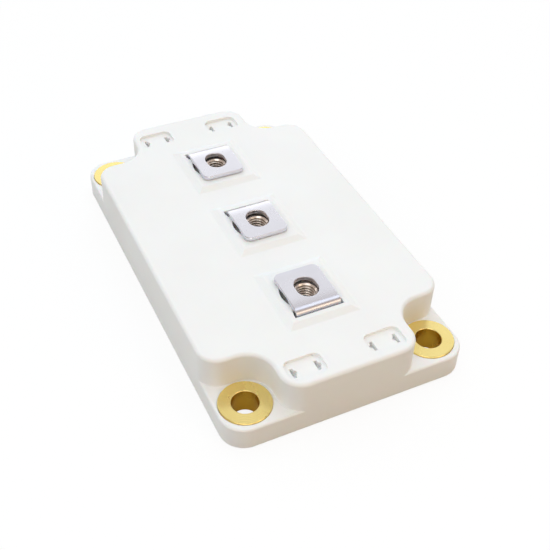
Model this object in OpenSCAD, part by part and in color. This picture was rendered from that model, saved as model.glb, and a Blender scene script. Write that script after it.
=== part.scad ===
// Low power diode module: two groups of diodes with a common cathode in one moulded housing.
// The origin is on the cooling face, midway between the four mounting holes.
// X runs along the row of terminals, Y across it and Z up from the cooling face.

/* [Housing] */
// Length of the housing
body_l = 108; // [95:0.5:130]
// Width of the housing
body_w = 62; // [55:0.5:74]
// Height of the flat top face above the cooling face
body_h = 15; // [13:0.1:20]
// Height of the corner ears above the cooling face
ear_h = 6.4; // [5.5:0.1:9]
// Radius of the outer corners of the ears
ear_r = 6; // [3:0.25:7]
// Rounding of the upper edge of the ears
ear_edge_r = 0.6; // [0.3:0.1:1]
// Rounding of the upper edge of the block
top_edge_r = 0.9; // [0.4:0.1:1.4]
// Thickness of the side walls
wall = 2.6; // [2.2:0.1:3.2]
// Thickness of the roof
roof = 2.4; // [1.8:0.1:3]

/* [Corner notches] */
// Room between a bushing's collar and the notch wall along X
collar_room_x = 0.3; // [0.1:0.05:2]
// Room between a bushing's collar and the notch wall along Y
collar_room_y = 0.8; // [0.1:0.05:2]
// Radius of the inner corner of a notch
notch_r = 6.5; // [3:0.25:7]
// Radius of the corner where a notch meets the long side
side_corner_r = 5; // [3:0.25:6]
// Radius of the corner where a notch meets the short end
end_corner_r = 5.25; // [3:0.25:6]

/* [Mounting bushings] */
// Rim of an ear between the collar and the short end
ear_rim_x = 1.3; // [0.8:0.1:3]
// Rim of an ear between the collar and the long side
ear_rim_y = 0.8; // [0.7:0.1:3]
// Bore for the mounting screw
screw_bore = 6.4; // [5.3:0.1:6.6]
// Diameter of the bushing's collar
collar_d = 12.4; // [11:0.1:14]
// Thickness of the bushing's collar
collar_t = 1.5; // [1:0.1:2.5]
// Height of the collar above the ear
collar_rise = 0.3; // [0.1:0.05:0.6]
// Diameter of the bushing's sleeve below the collar
sleeve_d = 9.4; // [8.6:0.1:10]
// Chamfer on the edges of the bushing
bushing_chamfer = 0.2; // [0.1:0.05:0.4]
// Clearance around a bushing in the housing
bushing_gap = 0.05; // [0.02:0.01:0.1]

/* [Power terminals] */
// Height of the upper face of the terminals above the top face
terminal_rise = 2; // [1.6:0.1:8]
// Distance from a screw to the free end of its tab
tab_reach = 6.7; // [6:0.1:7.5]
// Distance from a screw to the outer face of the fold
fold_reach = 7; // [6.6:0.1:7.6]
// Width of a terminal tab
tab_w = 11.8; // [11:0.1:13]
// Thickness of the terminal strip
tab_t = 1.1; // [0.8:0.1:1.3]
// Room between a tab and its boss
tab_gap = 0.15; // [0.05:0.05:0.3]
// Radius of the corners at the free end of a tab
tab_corner_r = 1.6; // [0.5:0.1:2.5]
// Outer radius of the bends in the strip
bend_r = 1.8; // [1.5:0.1:2.4]
// Width of the screw slot in a tab
tab_hole_w = 5.5; // [5.2:0.1:6]
// Length of the screw slot in a tab
tab_hole_l = 6.8; // [5.6:0.1:7.4]
// Width of the strip below its shoulders
tail_w = 6; // [4:0.1:6.5]
// Distance from the underside of the roof down to the shoulders of the strip
shoulder_drop = 2.4; // [1:0.1:4]
// Length of the soldered foot
foot_l = 5.6; // [4.5:0.1:6.4]
// Clearance around the strip in the slot of the roof
slot_gap = 0.2; // [0.1:0.05:0.5]
// Room in the roof slot beyond the outer face of the strip
slot_front = 0.35; // [0.2:0.05:0.8]
// Room in the roof slot beyond each edge of the strip
slot_ends = 0.45; // [0.2:0.05:1]

/* [Terminal bosses] */
// Reach of a boss beyond the fold, and as far on the other side of its screw
boss_reach_x = 1.6; // [1.2:0.1:2.5]
// Reach of a boss beyond either edge of its tab
boss_reach_y = 1.6; // [1:0.1:2.5]
// Width of the sloped side of a boss
boss_slope = 1.7; // [0.8:0.1:2.5]
// Reach of the round relief beyond either edge of its tab
relief_reach = 0.5; // [0.1:0.1:1]
// Depth of the round relief under a tab
relief_depth = 2; // [0.5:0.1:2.2]

/* [Terminal nuts] */
// Width of a nut across its flats
nut_flats = 8; // [7:0.1:8.4]
// Height of a nut
nut_h = 4; // [3:0.1:4.4]
// Tapping bore of a nut
nut_bore = 4.2; // [3.3:0.1:4.6]
// Angle of the cone on either end of a nut
nut_cone = 30; // [15:1:35]
// Width of the chamfer at the mouth of a nut
nut_mouth = 0.45; // [0.2:0.05:0.6]
// Distance from the top of a boss down to its nut
nut_drop = 0.4; // [0.1:0.1:1]
// Clearance around a nut in its pocket
nut_gap = 0.2; // [0.1:0.05:0.3]
// Wall of the hanging well around a nut
well_wall = 1.1; // [0.8:0.1:1.4]
// Depth of the well below a nut for the screw's end
well_depth = 1.5; // [0.8:0.1:1.8]
// Diameter of the well below a nut
well_d = 5.6; // [5.2:0.1:6]

/* [Pin pads] */
// Rim between a pad and the short end
pad_rim_x = 2.95; // [2.5:0.05:4]
// Rim between a pad and the notch wall
pad_rim_y = 2.3; // [2:0.1:3]
// Shift of the four pads along X
pad_shift_x = 1.1; // [-1.2:0.1:1.2]
// Shift of the four pads along Y
pad_shift_y = -0.6; // [-0.8:0.1:0.8]
// Length of a pad along X
pad_l = 6.2; // [5.5:0.1:6.6]
// Width of a pad along Y
pad_w = 9.2; // [8.8:0.1:10]
// Radius of a pad's corners
pad_r = 1.8; // [0.8:0.1:2]
// Depth of a pad below the top face
pad_depth = 0.8; // [0.5:0.1:1.6]
// Distance between the two pin slots of a pad
pin_pitch = 6; // [5.4:0.1:6.4]
// Length of a pin slot
pin_slot_l = 2.8; // [2.4:0.1:3.4]
// Width of a pin slot
pin_slot_w = 0.75; // [0.6:0.05:1.2]
// Depth of a pin slot below its pad
pin_slot_depth = 1.4; // [0.8:0.1:1.6]
// Radius of the key notch in the inner side of a pin slot
pin_key_r = 0.6; // [0.4:0.05:0.8]

/* [Baseplate] */
// Thickness of the baseplate
plate_t = 3; // [2:0.1:3.4]
// Height of the housing's skirt above the cooling face
skirt_z = 0.2; // [0.1:0.05:0.4]
// Thickness of the skirt around the baseplate
skirt_t = 1.4; // [1.2:0.1:1.7]
// Clearance around the baseplate
plate_gap = 0.15; // [0.1:0.05:0.25]
// Thickness of the adhesive bead on the baseplate
bead_t = 0.3; // [0.2:0.05:0.5]

/* [Circuit] */
// Room between a ceramic tile and the long wall
tile_room_y = 4.4; // [0.5:0.1:6]
// Room between a ceramic tile and the wall of the notches
tile_room_x = 0.9; // [0.5:0.1:3]
// Gap between the two ceramic tiles
tile_gap = 3; // [2:0.1:4]
// Width of ceramic beyond the outer face of an outer terminal
tile_reach = 1.5; // [1:0.1:2.2]
// Thickness of a ceramic tile
tile_t = 0.63; // [0.3:0.01:1]
// Thickness of the copper on either face of a tile
copper_t = 0.3; // [0.2:0.05:0.5]
// Bare margin of ceramic around the copper
copper_margin = 1; // [0.6:0.1:1.4]
// Width of an anode track
anode_track_w = 7.5; // [7:0.1:8.4]
// Bare gap between the two tracks of a tile
track_gap = 1; // [0.6:0.1:1.4]
// Room across Y between a terminal's foot and the first die
die_foot_room = 1; // [0.5:0.1:2]
// Gap between neighbouring dies
die_gap = 2; // [1:0.1:3]
// Distance from the last die to the end of its track
die_margin = 1; // [0.5:0.1:2]
// Thickness of a diode die
die_t = 0.35; // [0.2:0.05:0.5]
// Distance from a die to the side of its track
die_inset = 1; // [0.5:0.1:1.5]
// Number of bond wires on a die
wires_on_die = 4; // [2:1:5]
// Number of bridge wires between the tiles
bridge_count = 8; // [2:2:12]
// Diameter of a bond wire
wire_d = 0.4; // [0.3:0.05:0.5]
// Distance from a bond to the near edge of its die or track
bond_inset = 2; // [1.4:0.1:2.4]
// Length of a bonded wire end
bond_l = 1; // [0.8:0.1:1.4]
// Angle of the arc that a bond wire bends through
wire_sweep = 100; // [80:5:120]
// Depth of the gel above the baseplate
gel_depth = 4.8; // [4.2:0.1:6]

/* [Hidden] */
$fn = 64;

TERMINALS = ["anode_terminal_1", "cathode_terminal", "anode_terminal_2"];
NUTS = ["terminal_nut_1", "terminal_nut_2", "terminal_nut_3"];
BUSHINGS = ["bushing_rear_left", "bushing_rear_right", "bushing_front_left", "bushing_front_right"];
TILES = ["ceramic_tile_1", "ceramic_tile_2"];
BACK_COPPERS = ["back_copper_1", "back_copper_2"];
CATHODE_TRACKS = ["cathode_track_1", "cathode_track_2"];
ANODE_TRACKS = ["anode_track_1", "anode_track_2"];
BOND_WIRES = ["bond_wires_1", "bond_wires_2"];
DIES = [for (i = [1 : 8]) str("diode_die_", i)];
TERMINAL_IDS = [0 : len(TERMINALS) - 1];
BUSHING_IDS = [0 : len(BUSHINGS) - 1];
TILE_IDS = [0 : len(TILES) - 1];
DIE_IDS = [0 : len(DIES) - 1];

// Side on which each strip folds down.
fold_sides = [-1, -1, 1];
// The outer terminals have their feet under the tab and the middle one has its foot away from it.
foot_turns = [-1, 1, -1];
// The two tiles lie at either side of the middle.
tile_sides = [-1, 1];
quadrants = [[-1, -1], [-1, 1], [1, -1], [1, 1]];

hole_x = body_l / 2 - ear_rim_x - collar_d / 2;
hole_y = body_w / 2 - ear_rim_y - collar_d / 2;
notch_x = hole_x - collar_d / 2 - collar_room_x;
notch_y = hole_y - collar_d / 2 - collar_room_y;
pad_x = body_l / 2 - pad_rim_x - pad_l / 2;
pad_y = notch_y - pad_rim_y - pad_w / 2;

// Cutters go past a face, and joined shapes into each other, by this much.
past = 0.5;
// An inset outline keeps at least this radius at its outer corners.
least_r = 0.2;

terminal_h = body_h + terminal_rise;
boss_top = terminal_h - tab_t - tab_gap;
boss_rise = boss_top - body_h;
boss_l = 2 * (fold_reach + boss_reach_x);
boss_w = tab_w + 2 * boss_reach_y;
relief_d = tab_w + 2 * relief_reach;
nut_top = boss_top - nut_drop;
nut_floor = nut_top - nut_h;
pocket_flats = nut_flats + 2 * nut_gap;
well_flats = pocket_flats + 2 * well_wall;
well_floor = nut_floor - well_depth;
well_bottom = well_floor - well_wall;

cavity_top = body_h - roof;
ledge_z = plate_t + bead_t;
gel_top = plate_t + gel_depth;

// Levels of the stack on the baseplate.
ceramic_z = plate_t + copper_t;
track_z = ceramic_z + tile_t;
track_top = track_z + copper_t;
die_top = track_top + die_t;

// Places along X of what lies on a tile, on the side of the positive end.
tile_inner = tile_gap / 2;
tile_outer = notch_x - wall - tile_room_x;
anode_outer = tile_outer - copper_margin;
anode_inner = anode_outer - anode_track_w;
cathode_outer = anode_inner - track_gap;
cathode_inner = tile_inner + copper_margin;
die_outer = cathode_outer - die_inset;

// The outer terminals stand near the outer ends of the tiles.
terminal_pitch = tile_outer - tile_reach - fold_reach;
terminal_xs = [-terminal_pitch, 0, terminal_pitch];

// Two dies share the track on either side of the terminals' feet.
tile_w = body_w - 2 * (wall + tile_room_y);
track_w = tile_w - 2 * copper_margin;
first_die_y = tail_w / 2 + die_foot_room;
die_side = (track_w / 2 - die_margin - first_die_y - die_gap) / 2;
die_pitch = die_side + die_gap;
die_ys = [for (side = [-1, 1]) for (step = [0, 1]) side * (first_die_y + die_side / 2 + step * die_pitch)];
wire_pitch = die_side / (wires_on_die + 1);
bridge_pitch = track_w / (bridge_count + 1);
// Facets around a bond wire.
wire_facets = 16;

// Hex shapes turned so that two flats face along X and two corners along Y.
hex_turn = 30;
hex_sides = 6;
function hex_d(flats) = flats / cos(180 / hex_sides);
function inset_r(r, inset) = max(r - inset, least_r);

// Mirrors its children to the sides that the signs of x and y give.
module to_side(x, y = 1) {
    mirror([x < 0 ? 1 : 0, 0, 0]) mirror([0, y < 0 ? 1 : 0, 0]) children();
}

module in_each_corner() {
    for (q = quadrants) to_side(q.x, q.y) children();
}

module at_each_pad() {
    translate([pad_shift_x, pad_shift_y, 0]) in_each_corner() children();
}

module rounded_rect(length, width, r) {
    square([length - 2 * r, width], center = true);
    square([length, width - 2 * r], center = true);
    for (q = quadrants)
        translate([q.x * (length / 2 - r), q.y * (width / 2 - r)]) circle(r = r);
}

module oblong(length, width) {
    square([length - width, width], center = true);
    for (side = [-1, 1]) translate([side * (length - width) / 2, 0]) circle(d = width);
}

// Outline of the block: a long bar and a wide bar crossed, with curved inner corners.
// Inset moves the whole outline inwards and keeps each arc on its own centre.
module block_outline(inset = 0) {
    rounded_rect(body_l - 2 * inset, 2 * (notch_y - inset), inset_r(end_corner_r, inset));
    rounded_rect(2 * (notch_x - inset), body_w - 2 * inset, inset_r(side_corner_r, inset));
    in_each_corner() difference() {
        translate([notch_x - inset - past, notch_y - inset - past]) square(notch_r + inset + past);
        translate([notch_x + notch_r, notch_y + notch_r]) circle(r = notch_r + inset);
    }
}

module quarter_disc(r) {
    intersection() {
        circle(r = r);
        square(r);
    }
}

// Quarter disc that is carried along an edge to round it, with a foot that reaches into the solid.
module edge_profile(r) {
    quarter_disc(r);
    translate([-past, -past]) square([r + past, past]);
    translate([-past, -past]) square([past, r + past]);
}

// Rounding along a straight edge whose face looks towards the given angle.
module edge_run(start, facing, run, r) {
    translate(start) rotate([90, 0, facing]) linear_extrude(run) edge_profile(r);
}

// Rounding around an outer corner.
module outer_turn(centre, corner_r, r) {
    translate(centre) rotate_extrude(angle = 90) translate([corner_r - r, 0]) edge_profile(r);
}

// Rounding around an inner corner.
module inner_turn(centre, corner_r, r) {
    translate(centre) rotate([0, 0, 180]) rotate_extrude(angle = 90)
        translate([corner_r + r, 0]) mirror([1, 0]) edge_profile(r);
}

// Upper edge of the block: the quarter disc follows every line and arc of the outline.
module block_rim() {
    r = top_edge_r;
    rim_z = body_h - r;
    end_y = notch_y - end_corner_r;
    side_x = notch_x - side_corner_r;
    translate([0, 0, rim_z]) {
        translate([0, 0, -past]) linear_extrude(r + past) block_outline(r);
        in_each_corner() {
            edge_run([body_l / 2 - r, end_y, 0], 0, end_y, r);
            outer_turn([body_l / 2 - end_corner_r, end_y, 0], end_corner_r, r);
            edge_run([notch_x + notch_r, notch_y - r, 0], 90,
                body_l / 2 - end_corner_r - notch_x - notch_r, r);
            inner_turn([notch_x + notch_r, notch_y + notch_r, 0], notch_r, r);
            edge_run([notch_x - r, body_w / 2 - side_corner_r, 0], 0,
                body_w / 2 - side_corner_r - notch_y - notch_r, r);
            outer_turn([side_x, body_w / 2 - side_corner_r, 0], side_corner_r, r);
            edge_run([0, body_w / 2 - r, 0], 90, side_x, r);
        }
    }
}

// Low plate with round corners that shows as the four ears.
module ear_plate() {
    r = ear_edge_r;
    flat_x = body_l / 2 - ear_r;
    flat_y = body_w / 2 - ear_r;
    translate([0, 0, skirt_z]) linear_extrude(ear_h - r - skirt_z) rounded_rect(body_l, body_w, ear_r);
    translate([0, 0, ear_h - r]) {
        translate([0, 0, -past]) linear_extrude(r + past)
            rounded_rect(body_l - 2 * r, body_w - 2 * r, ear_r - r);
        in_each_corner() {
            edge_run([body_l / 2 - r, flat_y, 0], 0, flat_y, r);
            outer_turn([flat_x, flat_y, 0], ear_r, r);
            edge_run([0, body_w / 2 - r, 0], 90, flat_x, r);
        }
    }
}

module slope_profile(top, run, rise) {
    polygon([
        [-top / 2 - run, 0], [-top / 2 - run, -past], [top / 2 + run, -past],
        [top / 2 + run, 0], [top / 2, rise], [-top / 2, rise]
    ]);
}

// Boss with four sloped sides, where two sloped bars cross.
module terminal_boss() {
    long = boss_l + 2 * boss_slope;
    wide = boss_w + 2 * boss_slope;
    translate([0, 0, body_h]) intersection() {
        rotate([90, 0, 0]) linear_extrude(wide, center = true) slope_profile(boss_l, boss_slope, boss_rise);
        rotate([90, 0, 90]) linear_extrude(long, center = true) slope_profile(boss_w, boss_slope, boss_rise);
    }
}

module hex_prism(flats, height) {
    rotate([0, 0, hex_turn]) cylinder(h = height, d = hex_d(flats), $fn = hex_sides);
}

// Room in the housing for one terminal that folds towards positive X, its nut and its screw.
module terminal_room() {
    translate([0, 0, nut_floor]) hex_prism(pocket_flats, boss_top - nut_floor + past);
    translate([0, 0, well_floor]) cylinder(h = nut_floor - well_floor + past, d = well_d);
    translate([0, 0, boss_top - relief_depth]) cylinder(h = relief_depth + past, d = relief_d);
    slot_x = fold_reach - tab_t - slot_gap;
    slot_l = tab_t + slot_gap + slot_front;
    slot_w = tab_w + 2 * slot_ends;
    translate([slot_x, -slot_w / 2, ledge_z]) cube([slot_l, slot_w, boss_top - ledge_z + past]);
    // The inside of the bend needs the slot's inner edge cut back under the strip.
    lead_x = fold_reach - bend_r - slot_gap;
    lead_h = bend_r - tab_t + slot_gap;
    lead_w = tab_w + 2 * min(slot_gap, slot_ends);
    translate([lead_x, -lead_w / 2, boss_top - lead_h])
        cube([slot_x - lead_x + past, lead_w, lead_h + past]);
}

// Recessed pad with two blind pin slots, each keyed on the side towards the middle line.
module pin_pad() {
    pad_z = body_h - pad_depth;
    translate([pad_x, pad_y, pad_z]) linear_extrude(pad_depth + past) rounded_rect(pad_l, pad_w, pad_r);
    for (side = [-1, 1])
        translate([pad_x, pad_y + side * pin_pitch / 2, pad_z - pin_slot_depth])
            linear_extrude(pin_slot_depth + past) {
                square([pin_slot_l, pin_slot_w], center = true);
                translate([0, -pin_slot_w / 2]) circle(r = pin_key_r);
            }
}

// Outsides of the wells that hang from the roof and hold the nuts.
module nut_wells() {
    for (x = terminal_xs) translate([x, 0, well_bottom]) hex_prism(well_flats, body_h - well_floor);
}

// Hollow under the roof, around the nut wells and the pads.
module cavity() {
    difference() {
        translate([0, 0, skirt_z]) linear_extrude(cavity_top - skirt_z) block_outline(wall);
        nut_wells();
        at_each_pad()
            translate([pad_x, pad_y, cavity_top - pad_depth])
                linear_extrude(pad_depth + past) rounded_rect(pad_l + 2 * wall, pad_w + 2 * wall, pad_r);
    }
}

module bushing_seat() {
    gap = 2 * bushing_gap;
    cylinder(h = ear_h + past, d = sleeve_d + gap);
    translate([0, 0, ear_h + collar_rise - collar_t]) cylinder(h = collar_t + past, d = collar_d + gap);
}

module housing() {
    color("#f4f3f0") difference() {
        union() {
            ear_plate();
            translate([0, 0, skirt_z]) linear_extrude(body_h - top_edge_r - skirt_z) block_outline();
            block_rim();
            for (x = terminal_xs) translate([x, 0, 0]) terminal_boss();
        }
        cavity();
        translate([0, 0, skirt_z - past]) linear_extrude(ledge_z - skirt_z + past) block_outline(skirt_t);
        for (i = TERMINAL_IDS)
            translate([terminal_xs[i], 0, 0]) to_side(fold_sides[i]) terminal_room();
        at_each_pad() pin_pad();
        for (q = quadrants) translate([q.x * hole_x, q.y * hole_y, 0]) bushing_seat();
    }
}

// Turned brass bushing with a wide collar.
module bushing(i) {
    top = ear_h + collar_rise;
    c = bushing_chamfer;
    bore_r = screw_bore / 2;
    sleeve_r = sleeve_d / 2;
    collar_r = collar_d / 2;
    color("#d9b44a") translate([quadrants[i].x * hole_x, quadrants[i].y * hole_y, 0])
        rotate_extrude() polygon([
            [bore_r, c], [bore_r + c, 0], [sleeve_r - c, 0], [sleeve_r, c], [sleeve_r, top - collar_t],
            [collar_r, top - collar_t], [collar_r, top - c], [collar_r - c, top],
            [bore_r + c, top], [bore_r, top - c]
        ]);
}

module baseplate() {
    color("#c9ccd2") linear_extrude(plate_t) block_outline(skirt_t + plate_gap);
}

module plate_bead() {
    color("#e9e6dc") translate([0, 0, plate_t]) linear_extrude(bead_t) difference() {
        block_outline(skirt_t + plate_gap);
        block_outline(wall);
    }
}

// Quarter ring of the strip's thickness, from the positive X side round to the positive Y side.
module bend() {
    difference() {
        quarter_disc(bend_r);
        circle(r = bend_r - tab_t);
    }
}

// Side view of the folded strip: tab, bend, riser, bend and foot.
// Sunk lets the foot reach below its seat, for a cut that overlaps the cut under it.
module strip_profile(foot_side, sunk) {
    foot_end = foot_side < 0 ? fold_reach - foot_l : fold_reach - tab_t + foot_l;
    foot_bend_x = foot_side < 0 ? fold_reach - bend_r : fold_reach - tab_t + bend_r;
    translate([-tab_reach, terminal_h - tab_t]) square([tab_reach + fold_reach - bend_r, tab_t]);
    translate([fold_reach - bend_r, terminal_h - bend_r]) bend();
    translate([fold_reach - tab_t, track_top + bend_r]) square([tab_t, terminal_h - track_top - 2 * bend_r]);
    translate([foot_bend_x, track_top + bend_r]) to_side(-foot_side, -1) bend();
    translate([min(foot_bend_x, foot_end), track_top - sunk])
        square([abs(foot_end - foot_bend_x), tab_t + sunk]);
}

// One power terminal, folded from flat strip, with a slotted tab and a narrow tail.
module terminal_strip(foot_side, sunk) {
    shoulder_z = cavity_top - shoulder_drop;
    difference() {
        rotate([90, 0, 0]) linear_extrude(tab_w, center = true) strip_profile(foot_side, sunk);
        // Screw slot
        translate([0, 0, terminal_h - tab_t - past]) linear_extrude(tab_t + 2 * past)
            oblong(tab_hole_l, tab_hole_w);
        // Round corners at the free end
        for (side = [-1, 1]) to_side(1, side)
            translate([-tab_reach, tab_w / 2, terminal_h - tab_t - past]) linear_extrude(tab_t + 2 * past)
                difference() {
                    translate([-past, -tab_corner_r]) square(tab_corner_r + past);
                    translate([tab_corner_r, -tab_corner_r]) circle(r = tab_corner_r);
                }
        // Tail narrower than the tab
        for (side = [-1, 1]) to_side(1, side)
            translate([-tab_reach, tail_w / 2, track_top - past])
                cube([tab_reach + fold_reach + foot_l, tab_w, shoulder_z - track_top + past]);
    }
}

module terminal(i, sunk = 0) {
    color("#dcdce4") translate([terminal_xs[i], 0, 0])
        to_side(fold_sides[i]) terminal_strip(foot_turns[i], sunk);
}

// Hex nut with both ends turned to a cone and a chamfered mouth at each end of its bore.
module nut(i) {
    r = hex_d(nut_flats) / 2;
    flat_r = nut_flats / 2;
    drop = (r - flat_r) * tan(nut_cone);
    rise = past * tan(nut_cone);
    bore_r = nut_bore / 2;
    color("#b9b3a8") translate([terminal_xs[i], 0, nut_floor]) intersection() {
        hex_prism(nut_flats, nut_h);
        rotate_extrude() polygon([
            [bore_r, nut_mouth], [bore_r + nut_mouth, 0], [flat_r, 0], [r + past, drop + rise],
            [r + past, nut_h - drop - rise], [flat_r, nut_h], [bore_r + nut_mouth, nut_h],
            [bore_r, nut_h - nut_mouth]
        ]);
    }
}

// Flat piece on a tile between two places along X, counted from the middle.
module tile_layer(side, near, far, width, z, top) {
    to_side(side) translate([near, -width / 2, z]) cube([far - near, width, top - z]);
}

module ceramic_tile(side) {
    color("#efeee9") tile_layer(side, tile_inner, tile_outer, tile_w, ceramic_z, track_z);
}

module back_copper(side) {
    color("#c27b4e") tile_layer(side, cathode_inner, anode_outer, track_w, plate_t, ceramic_z);
}

module cathode_track(side, sunk = 0) {
    color("#c27b4e") tile_layer(side, cathode_inner, cathode_outer, track_w, track_z - sunk, track_top);
}

module anode_track(side, sunk = 0) {
    color("#c27b4e") tile_layer(side, anode_inner, anode_outer, track_w, track_z - sunk, track_top);
}

module diode_die(i, sunk = 0) {
    count = len(die_ys);
    side = tile_sides[floor(i / count)];
    color("#5b6068") translate([0, die_ys[i % count], 0])
        tile_layer(side, die_outer - die_side, die_outer, die_side, track_top - sunk, die_top);
}

// Wire in an arc from a bond at one place along X to a bond at another.
module bond_wire(near, near_z, far, far_z, sunk) {
    span = far - near;
    arc_z = max(near_z, far_z) + wire_d / 2;
    arc_r = span / 2 / sin(wire_sweep / 2);
    translate([(near + far) / 2, 0, arc_z - arc_r * cos(wire_sweep / 2)]) rotate([90, 0, 0])
        rotate([0, 0, 90 - wire_sweep / 2]) rotate_extrude(angle = wire_sweep)
            translate([arc_r, 0]) circle(d = wire_d, $fn = wire_facets);
    for (bond = [[near, near_z], [far, far_z]])
        translate([bond.x - bond_l / 2, -wire_d / 2, bond.y - sunk])
            cube([bond_l, wire_d, arc_z + wire_d / 2 - bond.y + sunk]);
}

module bond_wires(side, sunk = 0) {
    color("#d4d6da") to_side(side)
        for (y = die_ys) for (k = [1 : wires_on_die])
            translate([0, y - die_side / 2 + k * wire_pitch, 0])
                bond_wire(die_outer - bond_inset, die_top, anode_inner + bond_inset, track_top, sunk);
}

module bridge_wires(sunk = 0) {
    bond_x = cathode_inner + bond_inset / 2;
    color("#d4d6da") for (k = [1 : bridge_count])
        translate([0, -track_w / 2 + k * bridge_pitch, 0])
            bond_wire(-bond_x, track_top, bond_x, track_top, sunk);
}

// Soft fill that covers the whole circuit, with room for nut wells that hang low.
// Each cut reaches into the one under it, so that no skin of gel is left between two pieces.
module silicone_gel() {
    sunk = copper_t / 2;
    color("#e8ecea") difference() {
        translate([0, 0, plate_t]) linear_extrude(gel_top - plate_t) block_outline(wall);
        for (side = tile_sides) {
            tile_layer(side, cathode_inner, anode_outer, track_w, plate_t - past, ceramic_z + tile_t / 2);
            ceramic_tile(side);
            cathode_track(side, sunk);
            anode_track(side, sunk);
            bond_wires(side, sunk);
        }
        for (i = DIE_IDS) diode_die(i, sunk);
        for (i = TERMINAL_IDS) terminal(i, sunk);
        bridge_wires(sunk);
        nut_wells();
    }
}

housing();
baseplate();
plate_bead();
silicone_gel();
bridge_wires();
for (i = BUSHING_IDS) bushing(i);
for (i = TERMINAL_IDS) terminal(i);
for (i = TERMINAL_IDS) nut(i);
for (i = TILE_IDS) ceramic_tile(tile_sides[i]);
for (i = TILE_IDS) back_copper(tile_sides[i]);
for (i = TILE_IDS) cathode_track(tile_sides[i]);
for (i = TILE_IDS) anode_track(tile_sides[i]);
for (i = TILE_IDS) bond_wires(tile_sides[i]);
for (i = DIE_IDS) diode_die(i);
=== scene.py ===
"""Dress a power diode module: moulded housing, bushings, folded terminals, nuts, plate and circuit.

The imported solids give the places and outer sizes, and the classes below hold the rest. Lengths are in
metres, so a size in millimetres is written as a number times MM. X runs along the row of terminals,
Y across it and Z up.
"""

import logging
import math
from collections.abc import Mapping
from dataclasses import dataclass, field
from enum import Enum
from typing import Any

import bmesh
import bpy
import numpy as np
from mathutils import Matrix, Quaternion, Vector


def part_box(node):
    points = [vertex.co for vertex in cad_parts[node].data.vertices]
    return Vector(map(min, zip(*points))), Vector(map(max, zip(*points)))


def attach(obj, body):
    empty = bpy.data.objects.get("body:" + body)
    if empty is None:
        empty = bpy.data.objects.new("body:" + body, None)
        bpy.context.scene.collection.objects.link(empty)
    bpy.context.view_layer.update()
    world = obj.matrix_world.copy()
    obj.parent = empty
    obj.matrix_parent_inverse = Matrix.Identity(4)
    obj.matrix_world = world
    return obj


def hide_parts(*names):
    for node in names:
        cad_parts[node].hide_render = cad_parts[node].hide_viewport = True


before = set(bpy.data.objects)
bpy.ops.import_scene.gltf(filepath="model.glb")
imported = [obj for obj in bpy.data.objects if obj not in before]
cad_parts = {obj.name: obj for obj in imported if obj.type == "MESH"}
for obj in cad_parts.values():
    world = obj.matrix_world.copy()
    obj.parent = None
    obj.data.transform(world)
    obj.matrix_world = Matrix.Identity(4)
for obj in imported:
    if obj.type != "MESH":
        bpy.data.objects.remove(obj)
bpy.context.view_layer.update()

MM = 0.001
BODY = "root"
WHITE = "#FFFFFF"

# Sockets of a Mix node that mixes colours, by number because several of them share a name
FACTOR = 0
TONE_A = 6
TONE_B = 7
MIXED = 2

# Octaves of the noise in the patches of tone and in the grain
PATCH_DETAIL = 3.0
GRAIN_DETAIL = 2.0

# Values of the patches' noise between which a surface passes from its glossiest to its dullest
PATCH_RANGE = (0.3, 0.7)

# Least divisor, which keeps a ray along the strip from a division by zero
LEAST = 1e-9

HEX_SIDES = 6

log = logging.getLogger("diode_module")


def linear(hex_colour: str) -> tuple[float, float, float, float]:
    """Turn an sRGB hex colour into the linear colour that the shaders work in.

    By the sRGB standard, a share up to 0.04045 is divided by 12.92. A higher one has 0.055 added, is
    divided by 1.055 and raised to the power of 2.4.

    Args:
        hex_colour: A colour such as "#F1F0EE".

    Returns:
        Linear red, green, blue and an alpha of 1.
    """
    srgb = np.array([int(hex_colour[i : i + 2], 16) for i in (1, 3, 5)]) / 255
    low, high = srgb / 12.92, ((srgb + 0.055) / 1.055) ** 2.4
    return (*np.where(srgb <= 0.04045, low, high).tolist(), 1.0)


def add_node(
    tree: bpy.types.NodeTree,
    kind: str,
    settings: Mapping[str | int, Any] | None = None,
    links: Mapping[str | int, bpy.types.NodeSocket] | None = None,
) -> bpy.types.Node:
    """Add a node to a tree with its settings and links.

    Args:
        tree: The node tree of a material or world.
        kind: The node's type name.
        settings: Values by input name or number, or by the node's own property.
        links: Output sockets by the name or number of the input that they feed.

    Returns:
        The new node.
    """
    node = tree.nodes.new(kind)
    for key, value in (settings or {}).items():
        if isinstance(key, int) or key in node.inputs:
            node.inputs[key].default_value = value
        else:
            setattr(node, key, value)
    for key, socket in (links or {}).items():
        tree.links.new(socket, node.inputs[key])
    return node


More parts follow.
